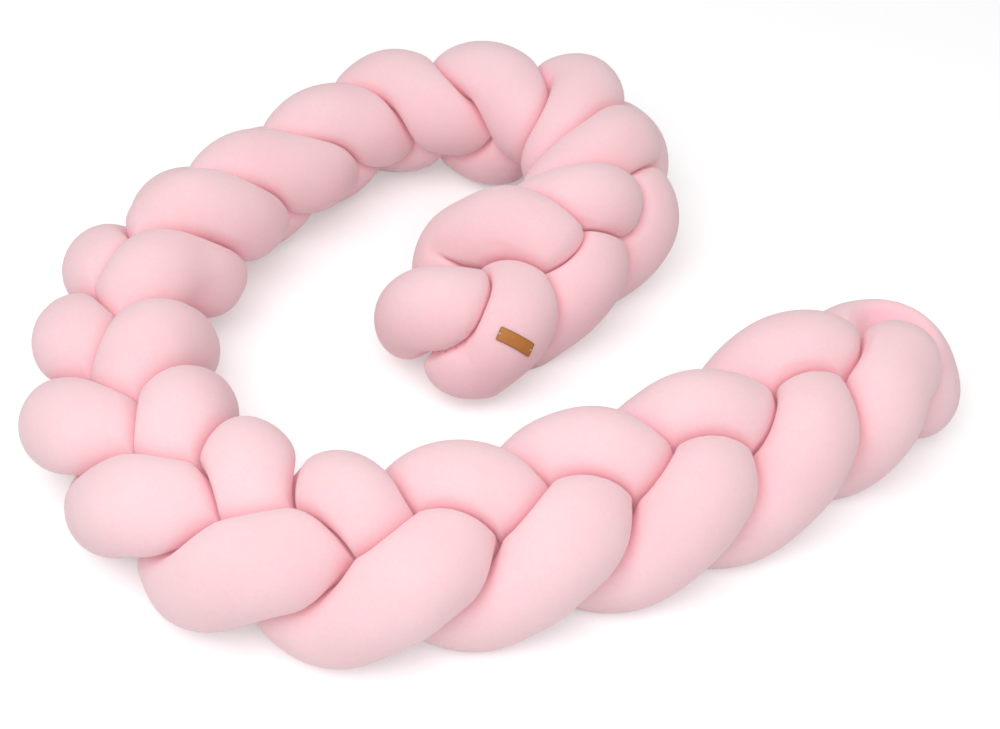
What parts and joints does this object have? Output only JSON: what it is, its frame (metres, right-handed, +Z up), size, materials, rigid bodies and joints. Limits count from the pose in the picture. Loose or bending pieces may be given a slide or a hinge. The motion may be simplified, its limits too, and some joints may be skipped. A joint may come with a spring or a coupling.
{
  "type": "crib bumper",
  "caption": "Plaited crib bumper of three stuffed jersey tubes, lying coiled in a loose spiral, with a small leather label near its inner end.",
  "frame": {"origin": "the middle of the box that holds the coiled bumper, on the flat surface it lies on", "axes": "+Z up from that surface; +X towards the outer end of the spiral, along its longest extent; +Y from the near side of the spiral to its far side"},
  "size_m": [0.8771, 0.7804, 0.1706],
  "materials": {
    "jersey": "matt single jersey knit, pale pink",
    "leather": "vegetable-tanned leather, tan, bare"
  },
  "bodies": {
    "root": {"tube_a": "jersey", "tube_b": "jersey", "tube_c": "jersey", "label": "leather"}
  },
  "joints": []
}
